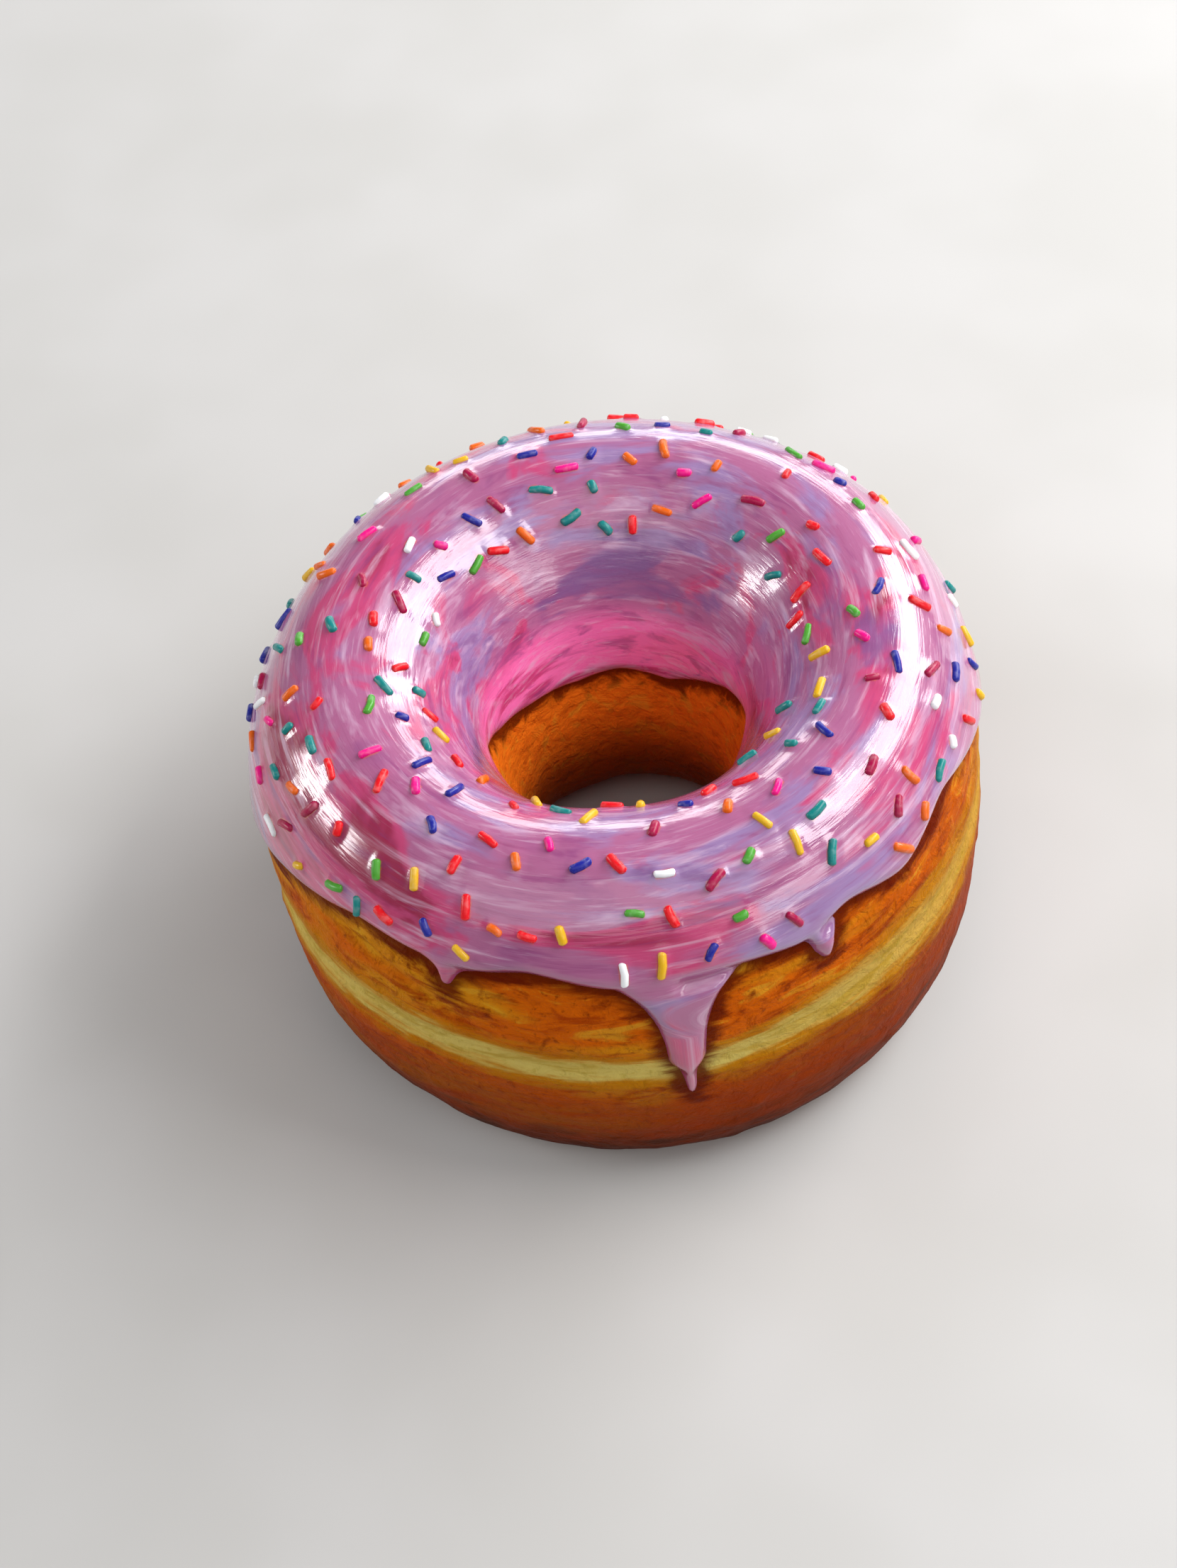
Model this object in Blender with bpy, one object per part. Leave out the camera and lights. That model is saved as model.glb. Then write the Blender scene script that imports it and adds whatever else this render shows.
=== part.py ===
"""A ring doughnut: raised dough fried golden brown, with a pale line round its side, pink icing that has run
down the front, and sugar strands scattered over the icing.

The dough is one solid. The icing is a second one, with the strands fused to it. Both are made on the same ring:
a place on it is an azimuth, a distance along the section from the crest, and a lift off the dough.
+Z is up, -Y is the front, and the origin is at the middle of the base.
"""

import math
import random

import bmesh
import bpy
import numpy as np
from mathutils import Matrix, Vector, kdtree

MM = 0.001

# The dough's section: a fat ring, flat where it rests, with a narrower waist in the hole.
OUTER_RADIUS = 49.9 * MM
CREST_RADIUS = 34.8 * MM
WAIST_RADIUS = 15.2 * MM
DOUGH_HEIGHT = 53.1 * MM
LINE_HEIGHT = 30.0 * MM
WAIST_HEIGHT = 20.0 * MM
SHOULDER_POWER = 2.0
HOLE_POWER = 1.8
UNDERSIDE_POWER = 2.9
BASE_FLATTENING = 0.9 * MM
# Moves the ring so that the origin is at the middle of the whole doughnut.
MIDDLE = Vector((0.6 * MM, 0.3 * MM, 0.0))

# The pale line, where the dough floated: a shallow groove all round.
GROOVE_DEPTH = 0.5 * MM
GROOVE_HALF_WIDTH = 2.2 * MM

# How far the ring is from round: (waves round the ring, share of the radius, azimuth of a crest in degrees).
OUT_OF_ROUND = ((1, 0.011, 90.0), (2, 0.0195, 78.0), (3, 0.0035, -50.0))
# How far the foot of the ring has settled to one side of the pale line.
SETTLED = 0.9 * MM
# Soft humps of the dough, which fade out at the foot: (waves round the ring, waves round the section, phase).
PUFF_HEIGHT = 0.28 * MM
PUFF_WAVES = ((3, 1, 0.4), (5, 2, 2.1), (7, 3, 4.0), (4, 4, 5.2))
PUFF_FADES_BELOW = 6.0 * MM

# Where the icing's two edges bend, without their runs: (azimuth in degrees, height above the base in mm).
OUTER_EDGE = (
    (-176, 32.5), (-156, 39), (-137, 43.5), (-117, 43.5), (-108, 45), (-95, 43), (-75, 43.5), (-64, 42.5),
    (-57, 44.5), (-45, 42), (-31, 44.5), (-15, 41), (2, 36), (20, 42.5), (32, 43), (46, 39.5), (66, 44),
    (95, 37.5), (120, 43.5), (143, 40), (155, 41), (168, 36.5),
)
INNER_EDGE = (
    (-176, 36), (-140, 33), (-118, 34.5), (-70, 34), (-28, 35), (-3, 36), (24, 34), (60, 29.5), (85, 30.5),
    (106, 29.5), (138, 31), (160, 32.5),
)
# Over how many degrees each bend is softened.
EDGE_SOFTENING = 3.0

# Where icing ran down: (azimuth in degrees, length, half width of its neck, half width that its flare adds,
# width of its tail as a share of the neck's).
RUNS = (
    (-85.3, 21.8 * MM, 2.2 * MM, 6.2 * MM, 0.36),
    (-120.8, 3.2 * MM, 0.9 * MM, 2.8 * MM, 0.9),
    (-61.9, 4.6 * MM, 1.6 * MM, 1.8 * MM, 0.7),
    (31.0, 8.5 * MM, 2.2 * MM, 2.8 * MM, 0.8),
    (70.0, 3.6 * MM, 1.4 * MM, 2.4 * MM, 0.9),
    (121.0, 13.5 * MM, 2.3 * MM, 3.8 * MM, 0.6),
    (149.0, 4.6 * MM, 1.8 * MM, 2.2 * MM, 0.9),
)
RUN_THICKNESS = 1.6 * MM
ROOT_THICKNESS = 1.25 * MM
# How far a run's root reaches up inside the icing, and how much farther off the dough it lies.
ROOT_BURIED = 4.0 * MM
RUN_RAISED = 0.15 * MM
# As shares of a run's length: where its flare has faded, where its neck starts to narrow, and over how much.
FLARE_FADES = 0.17
NARROWS_FROM = 0.60
NARROWS_OVER = 0.16

# The icing is thickest on the crest, and its edges are round.
ICING_ON_CREST = 1.9 * MM
ICING_ON_SIDE = 1.4 * MM
ICING_IN_HOLE = 1.1 * MM
CREST_HALF_WIDTH = 15.0 * MM
EDGE_ROUNDING = 1.8 * MM
# Free space between the two solids.
CLEARANCE = 0.45 * MM

# Sugar strands, all of them fused to the icing.
STRAND_SEED = 26
STRANDS_THROWN = 212
STRAND_LENGTHS = (1.9 * MM, 3.6 * MM)
STRAND_DIAMETERS = (1.02 * MM, 1.34 * MM)
STRAND_SPACING = 3.9 * MM
STRAND_TILT = 5.0
# How far a strand's middle lies above the icing, as a share of its diameter.
STRAND_RAISED = 0.2
# How near a strand lies to the outer edge, and how far from the crest it lies, inwards and outwards.
STRAND_EDGE_MARGIN = 2.4 * MM
STRAND_INNER_REACH = 10.5 * MM
STRAND_OUTER_REACH = 17.5 * MM

# Mesh fineness.
DOUGH_COLUMNS, DOUGH_ROWS = 56, 24
ICING_COLUMNS, ICING_ROWS = 88, 20
RUN_SIDES, RUN_RING_LENGTH = 10, 2.6 * MM
STRAND_SIDES = 6
# How much closer the dough's rows lie at the pale line and at the foot, and over what share of the way round.
CLOSER_AT_LINE = (1.8, 0.035)
CLOSER_AT_FOOT = (1.6, 0.06)
# The step over which the surface's slope is measured.
SLOPE_STEP = 0.3 * MM


def section(turn):
    """(radius, height) of the dough's section. turn is 0 outside, 90 degrees on the crest and 180 in the hole."""
    across, up = np.cos(turn), np.sin(turn)
    outside, above = across >= 0, up >= 0
    power = np.where(above, np.where(outside, SHOULDER_POWER, HOLE_POWER), UNDERSIDE_POWER)
    across, up = np.abs(across) ** (2 / power), np.abs(up) ** (2 / power)
    radius = CREST_RADIUS + across * np.where(outside, OUTER_RADIUS - CREST_RADIUS, WAIST_RADIUS - CREST_RADIUS)
    widest = np.where(outside, LINE_HEIGHT, WAIST_HEIGHT)
    height = np.where(above, widest + up * (DOUGH_HEIGHT - widest), widest - up * (widest + BASE_FLATTENING))
    height = np.maximum(height, 0.0)
    groove = GROOVE_DEPTH * np.exp(-(((height - LINE_HEIGHT) / GROOVE_HALF_WIDTH) ** 2))
    return radius - np.where(outside, groove, 0.0), height


def section_table():
    """The section by distance along it: 0 on the crest, positive outwards and down, negative into the hole."""
    turn = np.radians(np.linspace(270.0, -90.0, 2881))
    radius, height = section(turn)
    along = np.concatenate(([0.0], np.cumsum(np.hypot(np.diff(radius), np.diff(height)))))
    along -= np.interp(-math.pi / 2, -turn, along)
    return along, radius, height


ALONG, RADIUS, HEIGHT = section_table()
ALL_ROUND = ALONG[-1] - ALONG[0]
LINE_ALONG = float(np.interp(-LINE_HEIGHT, -HEIGHT[ALONG > 0], ALONG[ALONG > 0]))


def out_of_round(azimuth):
    share = 1.0
    for waves, size, crest in OUT_OF_ROUND:
        share = share + size * np.cos(waves * (azimuth - math.radians(crest)))
    return share


def puff(azimuth, along):
    """How far the dough swells or sinks, in low soft humps."""
    swell = 0.0
    for round_ring, round_tube, phase in PUFF_WAVES:
        tube_turn = 2 * math.pi * along / ALL_ROUND
        swell = swell + np.sin(round_ring * azimuth + phase) * np.cos(round_tube * tube_turn + phase)
    return PUFF_HEIGHT * swell / 2


def ring_points(azimuth, along, lift):
    """Points at these places on the ring, as rows of x, y, z."""
    azimuth, along, lift = np.broadcast_arrays(*map(np.atleast_1d, (azimuth, along, lift)))
    radius, height = np.interp(along, ALONG, RADIUS), np.interp(along, ALONG, HEIGHT)
    ahead, behind = along + SLOPE_STEP, along - SLOPE_STEP
    out = np.interp(ahead, ALONG, RADIUS) - np.interp(behind, ALONG, RADIUS)
    down = np.interp(ahead, ALONG, HEIGHT) - np.interp(behind, ALONG, HEIGHT)
    length = np.hypot(out, down)
    lift = lift + puff(azimuth, along) * np.clip(height / PUFF_FADES_BELOW, 0.0, 1.0)
    share = 1 + (out_of_round(azimuth) - 1) * (radius - WAIST_RADIUS) / (OUTER_RADIUS - WAIST_RADIUS)
    radius = radius * share - lift * down / length
    height = height + lift * out / length
    aside = SETTLED * np.clip(1 - height / LINE_HEIGHT, 0.0, 1.0)
    places = np.stack((radius * np.cos(azimuth) + aside, radius * np.sin(azimuth), height), axis=-1)
    return places + np.array(MIDDLE)


def ring_point(azimuth, along, lift):
    return Vector(ring_points(azimuth, along, lift)[0])


def surface_frame(azimuth, along, lift):
    """A matrix at a place on the ring: X runs round the ring, Y outwards along the section, Z off the dough."""
    here = ring_point(azimuth, along, lift)
    ahead, behind = along + SLOPE_STEP, along - SLOPE_STEP
    outwards = (ring_point(azimuth, ahead, lift) - ring_point(azimuth, behind, lift)).normalized()
    turn = SLOPE_STEP / (here - MIDDLE).xy.length
    around = (ring_point(azimuth + turn, along, lift) - ring_point(azimuth - turn, along, lift)).normalized()
    off = around.cross(outwards).normalized()
    if off.dot(ring_point(azimuth, along, lift + MM) - here) < 0:
        off, around = -off, -around
    return Matrix.Translation(here) @ Matrix((around, off.cross(around), off)).transposed().to_4x4()


EVERY_DEGREE = np.arange(-180.0, 180.0)


def closed_curve(places):
    """The height at every degree of a smooth closed curve that passes near these places."""
    azimuths, heights = np.array(places).T
    straight = np.interp(EVERY_DEGREE, azimuths, heights * MM, period=360.0)
    steps = np.arange(-7, 8)
    weights = np.exp(-((steps / EDGE_SOFTENING) ** 2))
    return sum(weight * np.roll(straight, step) for step, weight in zip(steps, weights)) / weights.sum()


OUTER_EDGE_HEIGHTS = closed_curve(OUTER_EDGE)
INNER_EDGE_HEIGHTS = closed_curve(INNER_EDGE)


def outer_edge(azimuth):
    """Distance along the section to the icing's outer edge, without its runs."""
    height = np.interp(np.degrees(azimuth), EVERY_DEGREE, OUTER_EDGE_HEIGHTS, period=360.0)
    outside = ALONG > 0
    return np.interp(-height, -HEIGHT[outside], ALONG[outside])


def inner_edge(azimuth):
    """Distance along the section to the icing's edge in the hole. It is negative."""
    height = np.interp(np.degrees(azimuth), EVERY_DEGREE, INNER_EDGE_HEIGHTS, period=360.0)
    inside = (ALONG < 0) & (HEIGHT > WAIST_HEIGHT)
    return np.interp(height, HEIGHT[inside], ALONG[inside])


def run_half_width(share, neck, flare, tail):
    """Half the width of a run at a share of its length: flared at its root, round at its tip."""
    narrowing = min(max((share - NARROWS_FROM) / NARROWS_OVER, 0.0), 1.0)
    narrowing = narrowing * narrowing * (3 - 2 * narrowing)
    width = neck * (1 - (1 - tail) * narrowing) + flare * math.exp(-share / FLARE_FADES)
    return width * math.sqrt(max(1 - share**6, 0.0))


def icing_body(along):
    """The icing's thickness away from its edges."""
    side = ICING_ON_SIDE if along > 0 else ICING_IN_HOLE
    return side + (ICING_ON_CREST - side) * math.exp(-((along / CREST_HALF_WIDTH) ** 2))


def edge_tree():
    """The icing's two edges, as points that can be searched for the nearest."""
    azimuth = np.radians(np.arange(0.0, 360.0, 0.5))
    places = np.concatenate([ring_points(azimuth, edge(azimuth), 0.0) for edge in (outer_edge, inner_edge)])
    tree = kdtree.KDTree(len(places))
    for index, place in enumerate(places):
        tree.insert(place, index)
    tree.balance()
    return tree


def material(name, colour, roughness):
    """A matt or glossy food surface. colour is linear red, green, blue."""
    made = bpy.data.materials.new(name)
    made.use_nodes = True
    shader = made.node_tree.nodes["Principled BSDF"]
    shader.inputs["Base Color"].default_value = (*colour, 1.0)
    shader.inputs["Roughness"].default_value = roughness
    shader.inputs["Metallic"].default_value = 0.0
    made.diffuse_color = (*colour, 1.0)
    return made


def spaced(count, density):
    """count places from 0 to 1, closer together where density is higher."""
    fine = np.linspace(0.0, 1.0, 2001)
    total = np.concatenate(([0.0], np.cumsum(density((fine[1:] + fine[:-1]) / 2))))
    return np.interp(np.arange(count) / count, total / total[-1], fine)


def torus(name, columns, rows):
    """A torus from Blender's own primitive, with each vertex's column and row numbers."""
    bpy.ops.mesh.primitive_torus_add(
        major_segments=columns, minor_segments=rows, major_radius=2.0, minor_radius=1.0
    )
    made = bpy.context.object
    made.name = made.data.name = name
    places = np.array([vertex.co for vertex in made.data.vertices])
    azimuth = np.arctan2(places[:, 1], places[:, 0])
    turn = np.arctan2(places[:, 2], np.hypot(places[:, 0], places[:, 1]) - 2.0)
    column = np.round(azimuth / (2 * math.pi) * columns).astype(int) % columns
    row = np.round(turn / (2 * math.pi) * rows).astype(int) % rows
    return made, column, row


def place_vertices(made, places):
    made.data.vertices.foreach_set("co", places.astype(np.float32).ravel())
    made.data.update()


def put_in(made, collection):
    for held_by in list(made.users_collection):
        held_by.objects.unlink(made)
    collection.objects.link(made)


def make_dough(parts):
    """The dough ring. Its rows lie closer together at the pale line and at the foot."""
    made, column, row = torus("dough_ring", DOUGH_COLUMNS, DOUGH_ROWS)
    line_place = (ALONG[-1] - LINE_ALONG) / ALL_ROUND

    def density(place):
        at_line = CLOSER_AT_LINE[0] * np.exp(-(((place - line_place) / CLOSER_AT_LINE[1]) ** 2))
        at_foot = CLOSER_AT_FOOT[0] * np.exp(-(((place - line_place / 4) / CLOSER_AT_FOOT[1]) ** 2))
        return 1 + at_line + at_foot

    # Row 0 is under the ring, and the rows go up the outside, over the crest and down the hole.
    along = ALONG[-1] - spaced(DOUGH_ROWS, density) * ALL_ROUND
    azimuth = 2 * math.pi * column / DOUGH_COLUMNS
    place_vertices(made, ring_points(azimuth, along[row], 0.0))
    made.data.shade_smooth()
    made.data.materials.append(material("fried_dough", (0.46, 0.165, 0.028), 0.5))
    put_in(made, parts)
    return made


def make_icing_shell(edges):
    """The icing without runs or strands: a ring whose section is a thin crescent lying over the dough."""
    made, column, row = torus("icing", ICING_COLUMNS, ICING_ROWS)
    azimuth = 2 * math.pi * column / ICING_COLUMNS
    # Rows go from the outer edge over the top to the inner edge, and back along the underside.
    turn = 2 * math.pi * row / ICING_ROWS
    on_top = np.sin(turn) > 1e-6
    even = 1 - np.abs(1 - 2 * row / ICING_ROWS)
    across = np.where(on_top, (even + (1 - np.cos(turn)) / 2) / 2, even)
    outer, inner = outer_edge(azimuth), inner_edge(azimuth)
    along = outer + (inner - outer) * across
    lift = np.full(len(along), CLEARANCE)
    for index in np.flatnonzero(on_top):
        at = ring_point(azimuth[index], along[index], 0.0)
        inwards = min(edges.find(at)[2] / EDGE_ROUNDING, 1.0)
        lift[index] += icing_body(along[index]) * math.sqrt(1 - (1 - inwards) ** 2)
    place_vertices(made, ring_points(azimuth, along, lift))
    return made


def make_run(joined, centre, length, neck, flare, tail):
    """A run of icing down the side: round on top and flat underneath, with its root inside the shell."""
    bm = bmesh.new()
    whole = ROOT_BURIED + length
    rings = 3 + round(whole / RUN_RING_LENGTH)
    bmesh.ops.create_uvsphere(bm, u_segments=RUN_SIDES, v_segments=rings, radius=1.0)
    azimuth = math.radians(centre)
    root = float(outer_edge(azimuth))
    for vertex in bm.verts:
        down = (1 - vertex.co.z) / 2 * whole
        share = max(down - ROOT_BURIED, 0.0) / length
        half_width = run_half_width(share, neck, flare, tail) * math.sqrt(min(down / ROOT_BURIED, 1.0))
        thick = ROOT_THICKNESS + (RUN_THICKNESS - ROOT_THICKNESS) * min(2.5 * share, 1.0)
        thick *= min(1.0, (half_width / neck) ** 0.6)
        side = vertex.co.xy.normalized()
        turn = half_width * side.x / OUTER_RADIUS
        lift = CLEARANCE + RUN_RAISED + thick * max(side.y, 0.0)
        vertex.co = ring_point(azimuth + turn, root - ROOT_BURIED + down, lift)
    bmesh.ops.recalc_face_normals(bm, faces=bm.faces)
    return add_mesh("run", bm, joined)


def add_mesh(name, bm, collection):
    mesh = bpy.data.meshes.new(name)
    bm.to_mesh(mesh)
    bm.free()
    made = bpy.data.objects.new(name, mesh)
    collection.objects.link(made)
    return made


def throw_strands():
    """Where the strands lie: (azimuth, along, heading, length, diameter) each, none too near another."""
    draw = random.Random(STRAND_SEED)
    strands, places = [], []
    while len(strands) < STRANDS_THROWN:
        azimuth = draw.uniform(-math.pi, math.pi)
        reach = min(float(outer_edge(azimuth)) - STRAND_EDGE_MARGIN, STRAND_OUTER_REACH)
        along = draw.uniform(-STRAND_INNER_REACH, reach)
        at = ring_point(azimuth, along, 0.0)
        if draw.random() > at.xy.length / OUTER_RADIUS:
            continue
        if any((at - other).length < STRAND_SPACING for other in places):
            continue
        places.append(at)
        heading = draw.uniform(0.0, math.pi)
        length = draw.uniform(*STRAND_LENGTHS)
        diameter = draw.uniform(*STRAND_DIAMETERS)
        strands.append((azimuth, along, heading, length, diameter))
    return strands


def make_strand(joined, azimuth, along, heading, length, diameter):
    """A short rod of sugar, lying on the icing and sunk a little into it."""
    lift = CLEARANCE + icing_body(along) + STRAND_RAISED * diameter
    tilt = math.radians(STRAND_TILT) * math.sin(7 * heading)
    lying = Matrix.Rotation(heading, 4, "Z") @ Matrix.Rotation(math.pi / 2 + tilt, 4, "Y")
    bm = bmesh.new()
    bmesh.ops.create_cone(
        bm, cap_ends=True, segments=STRAND_SIDES, radius1=diameter / 2, radius2=diameter / 2, depth=length
    )
    bm.transform(surface_frame(azimuth, along, lift) @ lying)
    return add_mesh("strand", bm, joined)


def keep_largest_body(mesh):
    """Drops loose scraps and sealed hollows that the union can leave."""
    bm = bmesh.new()
    bm.from_mesh(mesh)
    unseen, bodies = set(bm.verts), []
    while unseen:
        body, edge_of_search = set(), [unseen.pop()]
        while edge_of_search:
            vertex = edge_of_search.pop()
            body.add(vertex)
            linked = {edge.other_vert(vertex) for edge in vertex.link_edges} & unseen
            unseen -= linked
            edge_of_search.extend(linked)
        bodies.append(body)
    largest = max(bodies, key=len)
    bmesh.ops.delete(bm, geom=[vertex for vertex in bm.verts if vertex not in largest], context="VERTS")
    bm.to_mesh(mesh)
    bm.free()


def make_icing(parts, joined):
    """The icing: its shell, its runs and the strands, joined by one union."""
    shell = make_icing_shell(edge_tree())
    put_in(shell, parts)
    for run in RUNS:
        make_run(joined, *run)
    for strand in throw_strands():
        make_strand(joined, *strand)
    union = shell.modifiers.new("join_runs_and_strands", "BOOLEAN")
    union.operation = "UNION"
    union.operand_type = "COLLECTION"
    union.collection = joined
    union.solver = "EXACT"
    bpy.context.view_layer.update()
    fused = bpy.data.meshes.new_from_object(shell.evaluated_get(bpy.context.evaluated_depsgraph_get()))
    shell.modifiers.clear()
    shell.data = fused
    fused.name = "icing"
    keep_largest_body(fused)
    fused.shade_smooth()
    fused.set_sharp_from_angle(angle=math.radians(40))
    fused.materials.clear()
    fused.materials.append(material("pink_icing", (0.60, 0.16, 0.34), 0.25))
    for used in list(joined.objects):
        bpy.data.objects.remove(used)
    return shell


def main():
    for old in list(bpy.data.objects):
        bpy.data.objects.remove(old)
    parts = bpy.data.collections.new("doughnut")
    joined = bpy.data.collections.new("joined_to_icing")
    bpy.context.scene.collection.children.link(parts)
    bpy.context.scene.collection.children.link(joined)
    make_dough(parts)
    make_icing(parts, joined)
    bpy.data.collections.remove(joined)


main()
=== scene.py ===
"""The looks of a raised ring doughnut: its fried crust with the pale line, the pink icing that ran down the
front, and the sugar strands, with a plain floor, soft lights and the camera.

A place on the ring is an azimuth, a distance along the section from the crest (positive outwards) and a lift
off the dough. These rules are the same ones that shape the solids of the frame.
"""

import math
import random

import bmesh
import bpy
import numpy as np
from mathutils import Matrix, Quaternion, Vector, kdtree, noise


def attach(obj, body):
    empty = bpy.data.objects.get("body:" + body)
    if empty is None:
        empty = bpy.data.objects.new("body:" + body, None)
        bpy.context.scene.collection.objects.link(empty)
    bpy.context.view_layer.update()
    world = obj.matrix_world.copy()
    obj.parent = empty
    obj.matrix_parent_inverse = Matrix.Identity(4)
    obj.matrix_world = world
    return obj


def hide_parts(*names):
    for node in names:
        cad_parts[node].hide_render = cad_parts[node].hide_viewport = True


MM = 0.001

# The dough's section.
OUTER_RADIUS = 49.9 * MM
CREST_RADIUS = 34.8 * MM
WAIST_RADIUS = 15.2 * MM
DOUGH_HEIGHT = 53.1 * MM
LINE_HEIGHT = 30.0 * MM
WAIST_HEIGHT = 20.0 * MM
SHOULDER_POWER = 2.0
HOLE_POWER = 1.8
UNDERSIDE_POWER = 2.9
BASE_FLATTENING = 0.9 * MM
MIDDLE = Vector((0.6 * MM, 0.3 * MM, 0.0))
GROOVE_DEPTH = 0.5 * MM
GROOVE_HALF_WIDTH = 2.2 * MM
SECTION_POINTS = 2881

# Its unevenness.
OUT_OF_ROUND = ((1, 0.011, 90.0), (2, 0.0195, 78.0), (3, 0.0035, -50.0))
SETTLED = 0.9 * MM
PUFF_HEIGHT = 0.28 * MM
PUFF_WAVES = ((3, 1, 0.4), (5, 2, 2.1), (7, 3, 4.0), (4, 4, 5.2))
PUFF_FADES_BELOW = 6.0 * MM

# The icing's edges: (azimuth in degrees, height above the base in mm).
OUTER_EDGE = (
    (-176, 32.5), (-156, 39), (-137, 43.5), (-117, 43.5), (-108, 45), (-95, 43), (-75, 43.5), (-64, 42.5),
    (-57, 44.5), (-45, 42), (-31, 44.5), (-15, 41), (2, 36), (20, 42.5), (32, 43), (46, 39.5), (66, 44),
    (95, 37.5), (120, 43.5), (143, 40), (155, 41), (168, 36.5),
)
INNER_EDGE = (
    (-176, 36), (-140, 33), (-118, 34.5), (-70, 34), (-28, 35), (-3, 36), (24, 34), (60, 29.5), (85, 30.5),
    (106, 29.5), (138, 31), (160, 32.5),
)
# The width of the bell that rounds the corners of these edges, and how far it is taken, in degrees.
EDGE_SOFTENING = 3.0
SOFTENING_REACH = 7

# Runs of icing: (azimuth in degrees, length, half width of the neck, half width that the flare adds, width of
# the tail as a share of the neck's).
RUNS = (
    (-85.3, 21.8 * MM, 2.2 * MM, 6.2 * MM, 0.36),
    (-120.8, 3.2 * MM, 0.9 * MM, 2.8 * MM, 0.9),
    (-61.9, 4.6 * MM, 1.6 * MM, 1.8 * MM, 0.7),
    (31.0, 8.5 * MM, 2.2 * MM, 2.8 * MM, 0.8),
    (70.0, 3.6 * MM, 1.4 * MM, 2.4 * MM, 0.9),
    (121.0, 13.5 * MM, 2.3 * MM, 3.8 * MM, 0.6),
    (149.0, 4.6 * MM, 1.8 * MM, 2.2 * MM, 0.9),
)
RUN_STANDS = 1.85 * MM
FLARE_FADES = 0.17
# The higher this is, the blunter a run's tip.
RUN_TIP_POWER = 6
NARROWS_FROM = 0.60
NARROWS_OVER = 0.16
# A run's thickness and its marks start this far above the icing's plain edge.
RUN_ROOT = 1.0 * MM

# How thick the icing lies.
ICING_ON_CREST = 1.9 * MM
ICING_ON_SIDE = 1.4 * MM
ICING_IN_HOLE = 1.1 * MM
CREST_HALF_WIDTH = 15.0 * MM
CLEARANCE = 0.45 * MM
# It thins a little on the steep side, below the strands.
THINNER_BELOW = 0.68 * MM
THINS_OVER = 6.0 * MM
# Its edge is a steep rounded lip, a little thicker than the icing behind it, and goes on down into the dough.
LIP_WIDTH = 0.6 * MM
LIP_BEAD = 0.05
LIP_BEAD_PLACE = 1.9 * MM
LIP_BEAD_WIDTH = 1.0 * MM
LIP_UNDERCUT = 0.9 * MM
LIP_UNDERCUT_SLOPE = 3.0
LIP_SOFTENED = 2
# How far past the edge the mesh goes on.
LIP_GOES_ON = 0.5 * MM
# Marks that the dipping and turning left: soft ridges that follow the ring. They are a sum of waves, and each
# has a width and a number of crests round the ring between these. The sum seldom passes the peak.
DIP_RIDGES = 0.055 * MM
DIP_RIDGE_WIDTH = 4.5 * MM
DIP_RIDGE_WIDTH_SHARES = (0.6, 1.8)
DIP_RIDGE_CRESTS = (1, 6)
DIP_RIDGE_WAVES = 7
DIP_RIDGE_PEAK = 4
DIP_RIDGE_SEED = 5

# Sugar strands, thrown in the same way as on the solid.
STRAND_SEED = 26
STRANDS_THROWN = 212
STRAND_LENGTHS = (1.9 * MM, 3.6 * MM)
STRAND_DIAMETERS = (1.02 * MM, 1.34 * MM)
STRAND_SPACING = 3.9 * MM
STRAND_TILT = 5.0
STRAND_TILT_TURNS = 7
STRAND_RAISED = 0.15
STRAND_EDGE_MARGIN = 2.4 * MM
STRAND_INNER_REACH = 10.5 * MM
STRAND_OUTER_REACH = 17.5 * MM
STRAND_SIDES, STRAND_RINGS = 12, 10
# How far an end is rounded off, as a share of the radius, and the most that a strand bends, as a share of its
# length, and swells, as a share of its radius.
STRAND_BLUNTNESS = 0.75
STRAND_BEND = 0.07
STRAND_SWELL = 0.05
# A ball's vertices this near its middle are its middle ring.
MIDDLE_RING = 1e-6
# The icing creeps up round each strand.
CREEP_HEIGHT = 0.16 * MM
CREEP_WIDTH = 0.45 * MM
CREEP_REACH = 4.0 * MM

# Mesh fineness: columns go round the ring, and rows go along the section.
DOUGH_COLUMNS, DOUGH_ROWS = 520, 168
ICING_COLUMNS, ICING_ROWS = 860, 150
# The dough's rows are farther apart under the icing, from this far inside its edge. Bare dough has density 1.
UNDER_ICING_DENSITY = 0.22
UNDER_ICING_MARGIN = 2.0 * MM
# How far along the section the icing's mesh reaches, each way.
ICING_LOWEST, ICING_INNERMOST = 42.5 * MM, -34.0 * MM
# Between these places the icing has no edge, and its rows are farther apart.
EDGELESS_FROM, EDGELESS_TO = -22.0 * MM, 13.0 * MM
EDGELESS_DENSITY = 0.55
# The length and half width over which marks on the icing turn down into a run.
TURNS_OVER = 9.0 * MM
SLOPE_STEP = 0.3 * MM
# The icing's outline has a point at each of these steps, in degrees, and this many on each side of a run. It
# leaves out the plain edge where there is still icing this far past it.
BORDER_STEP = 0.1
RUN_SIDE_POINTS = 400
JUST_PAST = 0.02 * MM
# How many points measure the density of rows.
DENSITY_POINTS = 2001

# Where the pale line runs round the side: (azimuth in degrees, height above the base in mm).
PALE_LINE = (
    (-176, 28), (-160, 27.5), (-129, 30), (-108, 29), (-83, 28), (-60, 30), (-45, 30.4), (-28, 29.8),
    (0, 30.6), (40, 29), (75, 31), (110, 29), (145, 30.5),
)
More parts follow.
